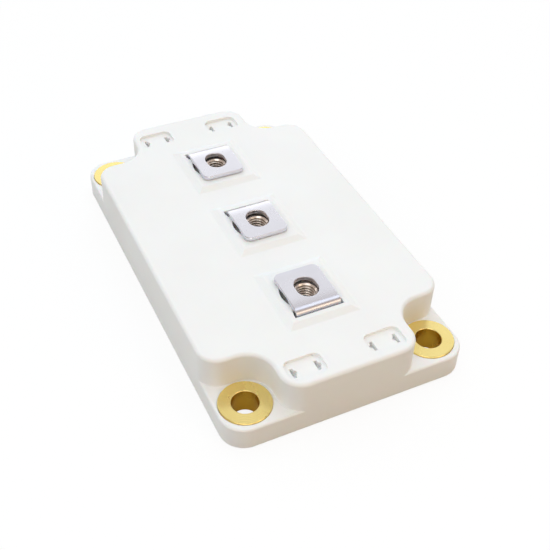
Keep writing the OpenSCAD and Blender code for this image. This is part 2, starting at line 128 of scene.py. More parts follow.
@dataclass(frozen=True)
class Finish:
    """A surface of two tones that mottle into each other, with uneven gloss and a fine raised grain.

    Attributes:
        name: What the material is and how its surface was made.
        tones: Two sRGB hex colours.
        mottle: Size of the patches of tone and gloss.
        grain: Size of a grain along X, Y and Z, long along the direction of rolling or drawing.
        lift: Height of the grain.
        roughness: Roughness of the glossiest and of the dullest patches.
        metallic: 1 for a bare metal.
        transmission: Share of light that passes through.
        ior: Refractive index, which a metal leaves at the default.
        glow: Share of light that spreads under the surface.
        glow_depth: How far that light spreads.
    """

    name: str
    tones: tuple[str, str]
    mottle: float
    grain: tuple[float, float, float]
    lift: float
    roughness: tuple[float, float]
    metallic: float = 0.0
    transmission: float = 0.0
    ior: float = 1.5
    glow: float = 0.0
    glow_depth: float = 0.5 * MM

    def material(self) -> bpy.types.Material:
        """Give the material of this finish, made on first use."""
        known = bpy.data.materials.get(self.name)
        return known if known else self.make()

    def make(self) -> bpy.types.Material:
        """Make the material: colour, roughness and normal come from noise on Object coordinates.

        Returns:
            The new material.
        """
        material = bpy.data.materials.new(self.name)
        material.use_nodes = True
        tree = material.node_tree
        shader = tree.nodes["Principled BSDF"]
        shader.inputs["Metallic"].default_value = self.metallic
        shader.inputs["Transmission Weight"].default_value = self.transmission
        if not self.metallic:
            shader.inputs["IOR"].default_value = self.ior
        shader.inputs["Subsurface Weight"].default_value = self.glow
        shader.inputs["Subsurface Scale"].default_value = self.glow_depth
        place = add_node(tree, "ShaderNodeTexCoord").outputs["Object"]
        patches = add_node(
            tree,
            "ShaderNodeTexNoise",
            {"Scale": 1 / self.mottle, "Detail": PATCH_DETAIL},
            {"Vector": place},
        ).outputs["Fac"]
        tone = add_node(
            tree,
            "ShaderNodeMix",
            {"data_type": "RGBA", TONE_A: linear(self.tones[0]), TONE_B: linear(self.tones[1])},
            {FACTOR: patches},
        )
        tree.links.new(self.shade(tree, tone.outputs[MIXED]), shader.inputs["Base Color"])
        gloss = add_node(
            tree,
            "ShaderNodeMapRange",
            {
                "From Min": PATCH_RANGE[0],
                "From Max": PATCH_RANGE[1],
                "To Min": self.roughness[0],
                "To Max": self.roughness[1],
            },
            {"Value": patches},
        )
        tree.links.new(gloss.outputs["Result"], shader.inputs["Roughness"])
        stretched = add_node(
            tree, "ShaderNodeMapping", {"Scale": [1 / size for size in self.grain]}, {"Vector": place}
        ).outputs["Vector"]
        grain = add_node(
            tree, "ShaderNodeTexNoise", {"Scale": 1.0, "Detail": GRAIN_DETAIL}, {"Vector": stretched}
        )
        lifted = add_node(
            tree,
            "ShaderNodeBump",
            {"Distance": self.lift, "Strength": 1.0},
            {"Height": grain.outputs["Fac"], **self.relief(tree)},
        )
        tree.links.new(lifted.outputs["Normal"], shader.inputs["Normal"])
        return material

    def shade(self, tree: bpy.types.NodeTree, tone: bpy.types.NodeSocket) -> bpy.types.NodeSocket:
        """Give the colour that the tone becomes, which a plain finish leaves as it is."""
        return tone

    def relief(self, tree: bpy.types.NodeTree) -> dict[str, bpy.types.NodeSocket]:
        """Give the coarser relief under the grain, of which a plain finish has none."""
        return {}


@dataclass(frozen=True)
class TurnedFinish(Finish):
    """A finish with the rings of a lathe tool, which follow V of the piece's UV map in metres, and painted
    shade in the bore.

    Attributes:
        bore_shade_tone: Darker, more saturated brass painted into the drilled bore as shade, where V is
            negative.
        ring: Distance from ring to ring.
        ring_lift: Height of a ring.
    """

    # Painted shade: the bore gets this darker, more saturated brass instead of the turned tone.
    bore_shade_tone: str = "#DDB845"
    ring: float = 0.45 * MM
    ring_lift: float = 0.004 * MM

    def along(self, tree: bpy.types.NodeTree) -> bpy.types.NodeSocket:
        """Give the V of the UV map."""
        place = add_node(tree, "ShaderNodeUVMap").outputs["UV"]
        return add_node(tree, "ShaderNodeSeparateXYZ", links={"Vector": place}).outputs["Y"]

    def shade(self, tree: bpy.types.NodeTree, tone: bpy.types.NodeSocket) -> bpy.types.NodeSocket:
        """Give the turned tone outside and painted shade in the bore, where V is negative.

        Args:
            tree: The node tree of the material.
            tone: The colour of the turned faces.

        Returns:
            The colour of the whole.
        """
        # Painted shade in the bore, where V is negative.
        inside = add_node(
            tree, "ShaderNodeMath", {"operation": "LESS_THAN", 1: 0.0}, {0: self.along(tree)}
        )
        return add_node(
            tree,
            "ShaderNodeMix",
            {"data_type": "RGBA", TONE_B: linear(self.bore_shade_tone)},
            {FACTOR: inside.outputs["Value"], TONE_A: tone},
        ).outputs[MIXED]

    def relief(self, tree: bpy.types.NodeTree) -> dict[str, bpy.types.NodeSocket]:
        """Give the bump of the rings: the sine of V turned once for each ring.

        Args:
            tree: The node tree of the material.

        Returns:
            The normal that the grain is laid on.
        """
        turns = add_node(
            tree,
            "ShaderNodeMath",
            {"operation": "MULTIPLY", 1: math.tau / self.ring},
            {0: self.along(tree)},
        )
        wave = add_node(tree, "ShaderNodeMath", {"operation": "SINE"}, {0: turns.outputs["Value"]})
        rings = add_node(
            tree,
            "ShaderNodeBump",
            {"Distance": self.ring_lift, "Strength": 1.0},
            {"Height": wave.outputs["Value"]},
        )
        return {"Normal": rings.outputs["Normal"]}


@dataclass(frozen=True)
class TappedFinish(Finish):
    """A finish with painted shade in the roots of a thread, where V of the piece's UV map is 1.

    Attributes:
        root_shade_tone: Darker colour painted into the roots of the thread as shade.
    """

    # Painted shade: the roots of the thread get this darker colour.
    root_shade_tone: str = "#64563C"

    def shade(self, tree: bpy.types.NodeTree, tone: bpy.types.NodeSocket) -> bpy.types.NodeSocket:
        """Give the tone on the crests and painted shade in the roots.

        Args:
            tree: The node tree of the material.
            tone: The colour of the faces and crests.

        Returns:
            The colour of the whole.
        """
        # Painted shade in the roots: V of the UV map is the share of the groove's depth.
        place = add_node(tree, "ShaderNodeUVMap").outputs["UV"]
        depth = add_node(tree, "ShaderNodeSeparateXYZ", links={"Vector": place}).outputs["Y"]
        return add_node(
            tree,
            "ShaderNodeMix",
            {"data_type": "RGBA", TONE_B: linear(self.root_shade_tone)},
            {FACTOR: depth, TONE_A: tone},
        ).outputs[MIXED]


# Satin white with a soft skin. The spark-eroded mould leaves a grain that is too fine to see, so it is
# drawn four times as coarse.
MOULDED_PBT = Finish(
    "pbt_plastic_moulded_satin_white",
    ("#F4F4F3", "#EFEEEC"),
    18 * MM,
    (0.4 * MM, 0.4 * MM, 0.4 * MM),
    0.006 * MM,
    (0.38, 0.48),
    glow=0.12,
)
# Warm gold with faint rings. The feed of the lathe is near 0.1 mm, and the rings are drawn coarser so
# that they show.
TURNED_BRASS = TurnedFinish(
    "brass_turned_bright",
    ("#FEEBA0", "#F7E18F"),
    5 * MM,
    (0.5 * MM, 0.5 * MM, 0.5 * MM),
    0.002 * MM,
    (0.2, 0.3),
    metallic=1.0,
)
# Pale silver with a lavender cast and soft reflections. The long scratches of rolling are drawn coarse
# enough to show.
NICKEL_STRIP = Finish(
    "nickel_plated_copper_rolled_strip",
    ("#E4E4EB", "#DADAE2"),
    6 * MM,
    (5 * MM, 0.35 * MM, 5 * MM),
    0.0015 * MM,
    (0.24, 0.32),
    metallic=1.0,
)
# Bright zinc under a thin yellow passivation, warm on the crests of the thread, with painted shade in its
# roots.
PASSIVATED_STEEL = TappedFinish(
    "steel_zinc_plated_yellow_passivated",
    ("#F8F2EC", "#EBE2DA"),
    2 * MM,
    (0.3 * MM, 0.3 * MM, 0.3 * MM),
    0.003 * MM,
    (0.22, 0.3),
    metallic=1.0,
)
# Dull silver with the straight lay of rolling along X.
NICKEL_PLATE = Finish(
    "nickel_plated_copper_rolled_plate",
    ("#CFCFD3", "#BFBFC5"),
    12 * MM,
    (9 * MM, 0.3 * MM, 0.3 * MM),
    0.003 * MM,
    (0.26, 0.4),
    metallic=1.0,
)
# Matt rubber that was laid as a bead, slightly lumpy.
SEALANT = Finish(
    "silicone_sealant_cured_matt",
    ("#ECE9DF", "#E2DED2"),
    3 * MM,
    (0.8 * MM, 0.8 * MM, 0.8 * MM),
    0.03 * MM,
    (0.5, 0.65),
    ior=1.41,
)
# Chalky white with the fine grain of fired powder.
ALUMINA = Finish(
    "alumina_ceramic_fired_matt",
    ("#F1F0EA", "#E8E6DF"),
    4 * MM,
    (0.15 * MM, 0.15 * MM, 0.15 * MM),
    0.004 * MM,
    (0.6, 0.75),
    ior=1.76,
)
# Pink metal with a soft etched surface.
BONDED_COPPER = Finish(
    "copper_bonded_and_etched",
    ("#D79A75", "#C4835D"),
    5 * MM,
    (0.3 * MM, 0.3 * MM, 0.3 * MM),
    0.004 * MM,
    (0.3, 0.45),
    metallic=1.0,
)
# Grey mirror of vapour-deposited aluminium.
METALLISED_DIE = Finish(
    "silicon_die_aluminium_metallised",
    ("#A9ADB4", "#969AA2"),
    3 * MM,
    (0.2 * MM, 0.2 * MM, 0.2 * MM),
    0.001 * MM,
    (0.18, 0.28),
    metallic=1.0,
)
# Bright soft wire with drawing lines along its run.
DRAWN_ALUMINIUM = Finish(
    "aluminium_wire_drawn",
    ("#DFE0E3", "#CFD0D4"),
    2 * MM,
    (3 * MM, 0.1 * MM, 0.1 * MM),
    0.002 * MM,
    (0.22, 0.32),
    metallic=1.0,
)
# Clear jelly with a wet surface.
SILICONE_GEL = Finish(
    "silicone_gel_poured_clear",
    ("#F4F6F5", "#EDF1EF"),
    15 * MM,
    (8 * MM, 8 * MM, 8 * MM),
    0.02 * MM,
    (0.04, 0.08),
    transmission=0.9,
    ior=1.41,
)


class Slot(Enum):
    """The record's material slots for the pieces that this script makes."""

    HOUSING = "moulded_white"
    PLATE = "plated_plate"
    TERMINAL = "plated_terminal"
    NUT = "nut_steel"
    BUSHING = "turned_brass"


class Fold(Enum):
    """The side on which a terminal folds down, as a sign along X."""

    TO_REAR = -1
    TO_FRONT = 1


class Foot(Enum):
    """Whether a terminal's foot lies under its tab or turns away from it."""

    UNDER_TAB = -1
    AWAY = 1


def add_object(name: str, data: bpy.types.ID) -> bpy.types.Object:
    """Make an object and link it to the scene.

    Args:
        name: Name of the object.
        data: Its mesh, lamp or camera.

    Returns:
        The object.
    """
    made = bpy.data.objects.new(name, data)
    bpy.context.scene.collection.objects.link(made)
    return made


def grid_mesh(
    name: str, points: np.ndarray, wrap: bool = True, uv: np.ndarray | None = None
) -> bpy.types.Object:
    """Make an object from a grid of points, with quads between neighbouring rows and columns.

    A wrapped grid joins its last row to its first and its last column to its first, as a ring does.
    The sum of the dot products of each triangle's corner with the cross product of the other two is
    six times the enclosed volume, so where it is negative the quads are turned round and the faces
    point outwards.

    Args:
        name: Name of the object and its mesh.
        points: Array of rows by columns by 3.
        wrap: Whether both directions close on themselves.
        uv: UV map of a wrapped grid, with one row and one column more than the points, which close
            its seams.

    Returns:
        The object, linked to the scene.
    """
    rows, columns = points.shape[:2]
    spare = 0 if wrap else 1
    row, column = np.meshgrid(np.arange(rows - spare), np.arange(columns - spare), indexing="ij")
    corners = [(0, 0), (1, 0), (1, 1), (0, 1)]
    quads = np.stack(
        [(row + i) % rows * columns + (column + j) % columns for i, j in corners], axis=-1
    ).reshape(-1, 4)
    on_map = np.stack(
        [(row + i) * (columns + 1) + column + j for i, j in corners], axis=-1
    ).reshape(-1, 4)
    flat = points.reshape(-1, 3)
    a, b, c, d = (flat[quads[:, k]] for k in range(4))
    volume = np.sum(a * np.cross(b, c)) + np.sum(a * np.cross(c, d))
    if wrap and volume < 0:
        quads, on_map = quads[:, ::-1], on_map[:, ::-1]
    mesh = bpy.data.meshes.new(name)
    mesh.from_pydata(flat.tolist(), [], quads.tolist())
    if uv is not None:
        layer = mesh.uv_layers.new(name="surface")
        layer.data.foreach_set("uv", uv.reshape(-1, 2)[on_map].ravel())
    mesh.shade_smooth()
    mesh.update()
    return add_object(name, mesh)


def round_corners(outline: np.ndarray, radii: np.ndarray, steps: int = 6) -> np.ndarray:
    """Round every corner of a closed outline with an arc that touches both of its sides.

    With h half the angle between the sides, the arc starts radius / tan(h) from the corner and its
    centre lies radius / sin(h) from it on the middle line. Points between the ends of the arc blend
    its two end spokes by the sines of the angles left and done, over the sine of the whole angle.

    Args:
        outline: Corners in order, an array of n by 2.
        radii: Radius at each corner.
        steps: Points on each arc.

    Returns:
        The rounded outline, an array of n times steps by 2.
    """
    back, ahead = np.roll(outline, 1, axis=0) - outline, np.roll(outline, -1, axis=0) - outline
    back = back / np.linalg.norm(back, axis=1, keepdims=True)
    ahead = ahead / np.linalg.norm(ahead, axis=1, keepdims=True)
    half = np.arccos(np.sum(back * ahead, axis=1))[:, None] / 2
    radius = radii[:, None]
    middle = (back + ahead) / np.linalg.norm(back + ahead, axis=1, keepdims=True)
    centre = outline + middle * radius / np.sin(half)
    first = outline + back * radius / np.tan(half) - centre
    last = outline + ahead * radius / np.tan(half) - centre
    sweep = (math.pi - 2 * half)[:, None]
    share = np.linspace(0, 1, steps)[None, :, None]
    spokes = np.sin((1 - share) * sweep) * first[:, None] + np.sin(share * sweep) * last[:, None]
    return (centre[:, None] + spokes / np.sin(sweep)).reshape(-1, 2)


def distances(closed: np.ndarray) -> np.ndarray:
    """Give the distance of each point from the first, summed along the outline.

    Args:
        closed: Points in order, an array of n by 2 that ends where it starts.

    Returns:
        The n distances.
    """
    return np.concatenate([[0.0], np.cumsum(np.linalg.norm(np.diff(closed, axis=0), axis=1))])


def carried_round(
    axis: np.ndarray, turn: np.ndarray, radius: np.ndarray, height: np.ndarray
) -> np.ndarray:
    """Carry a profile round an upright axis: X and Y are its radius times cosine and sine of the turn.

    Args:
        axis: A point on the axis.
        turn: Angles round it, an array of rows by 1.
        radius: Distances from it, with one row for all angles or a row for each.
        height: Heights, in rows as the radius.

    Returns:
        The points, an array of rows by columns by 3.
    """
    x, y = axis[0] + radius * np.cos(turn), axis[1] + radius * np.sin(turn)
    return np.stack(np.broadcast_arrays(x, y, height), axis=-1)


def evenly_spaced(outline: np.ndarray, count: int) -> np.ndarray:
    """Place points at equal distances along a closed outline.

    Args:
        outline: Points in order, an array of n by 2.
        count: Number of points wanted.

    Returns:
        An array of count by 2.
    """
    closed = np.vstack([outline, outline[:1]])
    run = distances(closed)
    at = np.linspace(0, run[-1], count, endpoint=False)
    return np.stack([np.interp(at, run, closed[:, 0]), np.interp(at, run, closed[:, 1])], axis=1)


def flatten(piece: bpy.types.Object) -> None:
    """Let the large faces of a piece set its normals, so that they mirror as flat up to the roundings."""
    even = piece.modifiers.new("flat_faces", "WEIGHTED_NORMAL")
    even.keep_sharp = True


def seat(piece: bpy.types.Object, node: str, finish: Finish) -> None:
    """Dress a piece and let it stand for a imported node.

    Args:
        piece: The object.
        node: Name of the node that it replaces.
        finish: Its surface.
    """
    piece.data.materials.clear()
    piece.data.materials.append(finish.material())
    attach(piece, BODY)
    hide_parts(node)
    log.info("%s stands for %s in %s", piece.name, node, finish.name)


@dataclass
class Skin:
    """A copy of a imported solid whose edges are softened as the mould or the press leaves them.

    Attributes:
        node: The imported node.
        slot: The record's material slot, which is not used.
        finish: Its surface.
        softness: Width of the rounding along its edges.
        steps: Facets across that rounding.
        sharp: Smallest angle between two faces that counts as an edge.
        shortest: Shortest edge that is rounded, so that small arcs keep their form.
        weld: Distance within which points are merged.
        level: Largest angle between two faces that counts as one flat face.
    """

    node: str
    slot: Slot
    finish: Finish
    softness: float = 0.14 * MM
    steps: int = 2
    sharp: float = math.radians(22)
    shortest: float = 0.32 * MM
    weld: float = 0.001 * MM
    level: float = math.radians(0.5)

    def build(self) -> bpy.types.Object:
        """Merge the copy's triangles, mark its edges and add the rounding.

        Returns:
            The finished piece.
        """
        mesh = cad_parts[self.node].data.copy()
        mesh.name = f"{self.node}_skin"
        work = bmesh.new()
        work.from_mesh(mesh)
        bmesh.ops.remove_doubles(work, verts=work.verts, dist=self.weld)
        bmesh.ops.dissolve_limit(
            work,
            angle_limit=self.level,
            use_dissolve_boundaries=False,
            verts=work.verts,
            edges=work.edges,
        )
        angles = np.array([edge.calc_face_angle(0.0) for edge in work.edges])
        lengths = np.array([edge.calc_length() for edge in work.edges])
        work.to_mesh(mesh)
        work.free()
        mesh.shade_smooth()
        mesh.set_sharp_from_angle(angle=self.sharp)
        rounded = (angles > self.sharp) & (lengths > self.shortest)
        weights = mesh.attributes.new("bevel_weight_edge", "FLOAT", "EDGE")
        weights.data.foreach_set("value", rounded.astype(np.float32))
        piece = add_object(mesh.name, mesh)
        soft = piece.modifiers.new("soft_edges", "BEVEL")
        soft.limit_method = "WEIGHT"
        soft.width = self.softness
        soft.segments = self.steps
        soft.use_clamp_overlap = False
        closed = piece.modifiers.new("closed_seams", "WELD")
        closed.merge_threshold = self.weld
        flatten(piece)
        seat(piece, self.node, self.finish)
        return piece


@dataclass
class Bushing:
    """A turned brass bushing: a profile in radius and height, carried round the axis of its hole.

    Attributes:
        node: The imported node.
        bore: Diameter of the screw hole.
        sleeve: Diameter below the collar.
        collar_height: Height of the collar.
        chamfer: Width of the chamfers.
        edge: Rounding of the edges.
        edge_points: Points on each rounding.
        spokes: Points round the axis.
    """

    node: str
    bore: float = 6.4 * MM
    sleeve: float = 9.4 * MM
    collar_height: float = 1.5 * MM
    chamfer: float = 0.12 * MM
    edge: float = 0.04 * MM
    edge_points: int = 4
    spokes: int = 128

    def build(self) -> bpy.types.Object:
        """Carry the profile round the axis.

        Point (i, k) lies at radius r(k) and height z(k), turned by i steps round the axis. V of the UV
        map is the distance along the profile from the foot of the bore, so it is negative in the bore.

        Returns:
            The finished piece.
        """
        low, high = (np.array(corner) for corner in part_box(self.node))
        axis = (low + high) / 2
        collar = (high - low)[0] / 2
        bore, sleeve, cut = self.bore / 2, self.sleeve / 2, self.chamfer
        top, under = high[2], high[2] - self.collar_height
        corners = np.array(
            [
                [bore, top - cut],
                [bore, cut],
                [bore + cut, 0],
                [sleeve - cut, 0],
                [sleeve, cut],
                [sleeve, under],
                [collar, under],
                [collar, top - cut],
                [collar - cut, top],
                [bore + cut, top],
            ]
        )
        profile = round_corners(corners, np.full(len(corners), self.edge), self.edge_points)
        turn = np.linspace(0, math.tau, self.spokes, endpoint=False)[:, None]
        points = carried_round(axis, turn, profile[None, :, 0], profile[None, :, 1])
        run = distances(np.vstack([profile, profile[:1]]))
        round_share = np.linspace(0, 1, self.spokes + 1)[:, None]
        uv = np.stack(np.broadcast_arrays(round_share, run[None, :] - run[self.edge_points]), axis=-1)
        piece = grid_mesh(f"{self.node}_turned", points, uv=uv)
        flatten(piece)
        seat(piece, self.node, TURNED_BRASS)
        return piece


@dataclass
class Terminal:
    """A power terminal: a flat strip with a screw slot, folded down into the housing.

    Attributes:
        node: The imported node.
        fold: The side on which it folds.
        foot: How its foot turns.
        tab_reach: Distance from the screw to the free end.
        fold_reach: Distance from the screw to the outer face of the fold.
        thick: Thickness of the strip.
        bow: Lean that the tab takes up gently before the fold.
        bow_run: Length of strip that bows before the fold.
        fold_run: Length of strip in the upper fold.
        fold_ease: Power of the run by which the strip leans over, above 1 where it starts gently.
        foot_bend: Outer radius of the bend above the foot.
        corner: Radius of the corners at the free end.
        slot_long: Length of the screw slot.
        slot_wide: Width of the screw slot.
        shoulder: Height of the tab's upper face above the shoulders.
        tail: Width of the strip below its shoulders.
        foot_long: Length of the foot.
        edge: Rounding that the punch leaves along the edges.
        tail_corner: Rounding of the corners of shoulders and tail.
        round_points: Points along the outline.
        across_points: Points from the slot to the outline.
        edge_points: Points on each rounding of the edges.
        bend_samples: Places at which the reach of the fold is summed.
        line_samples: Places at which the folded line is summed.
    """

    node: str
    fold: Fold
    foot: Foot
    tab_reach: float = 6.7 * MM
    fold_reach: float = 7 * MM
    thick: float = 1.1 * MM
    bow: float = math.radians(6.5)
    bow_run: float = 3.6 * MM
    fold_run: float = 2.2 * MM
    fold_ease: float = 1.8
    foot_bend: float = 1.8 * MM
    corner: float = 1.6 * MM
    slot_long: float = 6.8 * MM
    slot_wide: float = 5.5 * MM
    shoulder: float = 6.8 * MM
    tail: float = 6 * MM
    foot_long: float = 5.6 * MM
    edge: float = 0.16 * MM
    tail_corner: float = 0.3 * MM
    round_points: int = 320
    across_points: int = 80
    edge_points: int = 4
    bend_samples: int = 2000
    line_samples: int = 4000

    def __post_init__(self) -> None:
        """Work out the runs along the strip at which it folds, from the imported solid's box."""
        low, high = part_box(self.node)
        self.width = high.y - low.y
        self.free_end = low.x if self.fold is Fold.TO_FRONT else high.x
        self.top = high.z - self.thick / 2
        bend_run = self.bow_run + self.fold_run
        lean = self.lean_over(np.linspace(0, bend_run, self.bend_samples))
        across, down = bend_run * np.cos(lean).mean(), bend_run * np.sin(lean).mean()
        self.turn_r = self.foot_bend - self.thick / 2
        self.bow_start = self.fold_reach - self.thick / 2 - across
        self.riser_start = self.bow_start + bend_run
        self.turn_start = self.riser_start + self.top - down - low.z - self.foot_bend
        self.foot_start = self.turn_start + self.turn_r * math.pi / 2
        self.strip_end = self.foot_start + self.foot_long - self.foot_bend
        self.shoulder_at = self.riser_start + self.shoulder - self.thick / 2 - down

    def lean_over(self, run: np.ndarray) -> np.ndarray:
        """Give the lean of the strip over the bow and the fold.

        The bow grows as the square of the share of its run, and the fold adds the rest of a right angle
        as a power of the share of its own run.

        Args:
            run: Distance along the strip from the start of the bow.

        Returns:
            The angles.
        """
        bowed = np.clip(run / self.bow_run, 0, 1) ** 2
        folded = np.clip((run - self.bow_run) / self.fold_run, 0, 1) ** self.fold_ease
        return self.bow * bowed + (math.pi / 2 - self.bow) * folded

    def flat_outline(self) -> np.ndarray:
        """Give the outline of the strip before folding: a wide tab and riser, then a narrow tail.

        Returns:
            Points in order, with the run along the strip and the place across it.
        """
        start, wide, narrow = -self.tab_reach, self.width / 2, self.tail / 2
        corners = np.array(
            [
                [start, -wide],
                [self.shoulder_at, -wide],
                [self.shoulder_at, -narrow],
                [self.strip_end, -narrow],
                [self.strip_end, narrow],
                [self.shoulder_at, narrow],
                [self.shoulder_at, wide],
                [start, wide],
            ]
        )
        radii = np.full(len(corners), self.tail_corner)
        radii[[0, -1]] = self.corner
        return evenly_spaced(round_corners(corners, radii), self.round_points)

    def slot_reach(self, direction: np.ndarray) -> np.ndarray:
        """Give the distance from the slot's middle to its wall in each direction.

        A ray that leaves through a straight side is half the width over its sine long. Any other meets
        the round end, whose centre lies half the straight length away along the strip.

        Args:
            direction: Unit vectors, an array of n by 2.

        Returns:
            The n distances.
        """
        end_r = self.slot_wide / 2
        straight = (self.slot_long - self.slot_wide) / 2
        along, across = np.abs(direction[:, 0]), np.abs(direction[:, 1])
        to_side = end_r / np.maximum(across, LEAST)
        to_end = straight * along + np.sqrt(end_r**2 - (straight * across) ** 2)
        return np.where(to_side * along <= straight, to_side, to_end)

    def section(self) -> tuple[np.ndarray, np.ndarray, np.ndarray]:
        """Give the loop round the strip: from the slot's wall over the top to the edge and back below.

        Each point lies at a fixed distance from the slot's wall plus a share of the way to the edge, at
        a height over the middle of the strip. Quarter circles join the four sides.

        Returns:
            The distances, the shares and the heights.
        """
        half, soft = self.thick / 2, self.edge
        arc = np.linspace(0, math.pi / 2, self.edge_points)
        share = np.linspace(0, 1, self.across_points)[1:-1]
        over_fixed = np.concatenate(
            [soft * (1 - np.cos(arc)), soft * (1 - 2 * share), -soft * (1 - np.sin(arc))]
        )
        over_share = np.concatenate([0 * arc, share, 1 + 0 * arc])
        over_height = half - soft + soft * np.concatenate([np.sin(arc), 1 + 0 * share, np.cos(arc)])
        return (
            np.concatenate([over_fixed, over_fixed[::-1]]),
            np.concatenate([over_share, over_share[::-1]]),
            np.concatenate([over_height, -over_height[::-1]]),
        )

    def folded(self, run: np.ndarray, height: np.ndarray) -> tuple[np.ndarray, np.ndarray]:
        """Carry a run along the strip and a height over its middle to the place along X and Z.

        The strip's lean is 0 on the tab, grows to a right angle over the bow and the fold, and turns by
        another right angle into the foot. X is the sum of the cosines of the lean over the run, and Z
        falls by the sum of its sines. A point stands off that line along its normal, which leans with it.

        Args:
            run: Distance along the strip from the screw.
            height: Distance from the middle line, positive on the outside of the upper fold.

        Returns:
            X from the screw towards the fold, and Z.
        """
        table = np.linspace(-self.tab_reach, self.strip_end, self.line_samples)
        turn = np.clip((table - self.turn_start) / self.turn_r, 0, math.pi / 2)
        lean = self.lean_over(table - self.bow_start) - self.foot.value * turn
        step = table[1] - table[0]
        line_x = -self.tab_reach + step * (np.cumsum(np.cos(lean)) - 1)
        line_z = self.top - step * np.cumsum(np.sin(lean))
        tilt = np.interp(run, table, lean)
        x = np.interp(run, table, line_x) + height * np.sin(tilt)
        return x, np.interp(run, table, line_z) + height * np.cos(tilt)

    def build(self) -> bpy.types.Object:
        """Lay rays from the screw slot to the outline, carry the section along them and fold it all.

        Returns:
            The finished piece.
        """
        outline = self.flat_outline()
        reach = np.linalg.norm(outline, axis=1)
        direction = outline / reach[:, None]
        inner = self.slot_reach(direction)
        fixed, share, height = self.section()
        out = inner[:, None] + fixed[None, :] + share[None, :] * (reach - inner)[:, None]
        x, z = self.folded(out * direction[:, :1], height[None, :])
        side = self.fold.value
        centre = self.free_end + side * self.tab_reach
        points = np.stack([centre + side * x, out * direction[:, 1:], z], axis=-1)
        piece = grid_mesh(f"{self.node}_strip", points)
        seat(piece, self.node, NICKEL_STRIP)
        return piece


@dataclass
class Nut:
    """A hex nut with a cut thread: one loop of bore, faces and flats, carried round the axis.

    Attributes:
        node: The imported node.
        bore: Diameter over the crests of the thread.
        thread: Diameter over its roots.
        pitch: Rise of the thread for each turn.
        crest: Share of the thread's profile that is flat on the crests.
        flank: Share of the profile that its straight flanks take up.
        mouth: Width of the chamfer at either end of the bore.
        cone: Angle of the cone on either end.
        rim: Share of the width across flats that the end faces keep flat.
        sharp: Smallest angle between two faces that counts as an edge.
        spokes: Points round the axis, a multiple of twelve so that every corner gets one.
        bore_points: Points along the bore.
    """

    node: str
    bore: float = 4.2 * MM
    thread: float = 5.0 * MM
    pitch: float = 0.8 * MM
    crest: float = 0.15
    flank: float = 0.7
    mouth: float = 0.75 * MM
    cone: float = math.radians(30)
    rim: float = 0.95
    sharp: float = math.radians(28)
    spokes: int = 144
    bore_points: int = 100

    def bore_groove(
        self, turn: np.ndarray, up: np.ndarray, height: float
    ) -> tuple[np.ndarray, np.ndarray]:
        """Give the radius of the bore and the depth of its helical groove, with a cone at either end.

        The groove's depth depends on the height in pitches less the turn in whole turns. It is flat on
        the crest and in the root and straight between them. The cone cuts away whatever lies inside it.

        Args:
            turn: Angles round the axis.
            up: Heights over the lower face.
            height: Height of the nut.

        Returns:
            The radii, and the share of the groove's depth at each, which is 0 on the cones.
        """
        phase = np.mod(up / self.pitch - turn / math.tau, 1.0)
        groove = np.clip((np.abs(2 * phase - 1) - self.crest) / self.flank, 0, 1)
        radius = self.bore / 2 + groove * (self.thread - self.bore) / 2
        cone = self.bore / 2 + self.mouth - np.minimum(up, height - up)
        return np.maximum(radius, cone), np.where(cone < radius, groove, 0.0)

    def build(self) -> bpy.types.Object:
        """Carry the loop round the axis: up the bore, out over the top, down the flats and back below.

        A flat's radius is half the width across flats over the cosine of the angle from its middle. The
        end faces are flat up to the rim and fall off as a cone beyond it.

        Returns:
            The finished piece.
        """
        low, high = (np.array(corner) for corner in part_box(self.node))
        axis, height = (low + high) / 2, (high - low)[2]
        flat_r = (high - low)[0] / 2
        turn = np.linspace(0, math.tau, self.spokes, endpoint=False)[:, None]
        up = np.linspace(0, height, self.bore_points)[None, :]
        bore, depth = self.bore_groove(turn, up, height)
        sector = math.tau / HEX_SIDES
        hexagon = flat_r / np.cos(np.mod(turn + sector / 2, sector) - sector / 2)
        rim = self.rim * flat_r + 0 * turn
        fall = (hexagon - rim) * math.tan(self.cone)
        radius = np.concatenate([bore, rim, hexagon, hexagon, rim], axis=1)
        level = np.concatenate(
            [up + 0 * turn, height + 0 * turn, height - fall, fall, 0 * turn], axis=1
        )
        points = carried_round(axis, turn, radius, low[2] + level)
        uv = np.zeros((self.spokes + 1, radius.shape[1] + 1, 2))
        # V holds the groove's depth, which the finish turns into painted shade in the roots.
        uv[:-1, : self.bore_points, 1] = depth
        uv[-1] = uv[0]
        piece = grid_mesh(f"{self.node}_tapped", points, uv=uv)
        piece.data.set_sharp_from_angle(angle=self.sharp)
        flatten(piece)
        seat(piece, self.node, PASSIVATED_STEEL)
        return piece


@dataclass
class Circuit:
    """The sealed pieces under the roof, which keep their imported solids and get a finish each.

    Attributes:
        finishes: The finish for each node whose name starts with the key.
    """

    finishes: Mapping[str, Finish] = field(
        default_factory=lambda: {
            "plate_bead": SEALANT,
            "silicone_gel": SILICONE_GEL,
            "ceramic_tile": ALUMINA,
            "back_copper": BONDED_COPPER,
            "cathode_track": BONDED_COPPER,
            "anode_track": BONDED_COPPER,
            "diode_die": METALLISED_DIE,
            "bond_wires": DRAWN_ALUMINIUM,
            "bridge_wires": DRAWN_ALUMINIUM,
        }
    )

    def dress(self) -> None:
        """Put each node's finish into its material slots."""
        for start, finish in self.finishes.items():
            for name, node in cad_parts.items():
                if name.startswith(start):
                    for material_slot in node.material_slots:
                        material_slot.material = finish.material()
                    log.info("%s keeps its solid in %s", name, finish.name)


class Shown(Enum):
    """What a lamp reaches: every surface, only what mirrors it, or only what scatters its light."""

    EVERYTHING = "everything"
    MIRRORS = "mirrors"
    MATT = "matt"


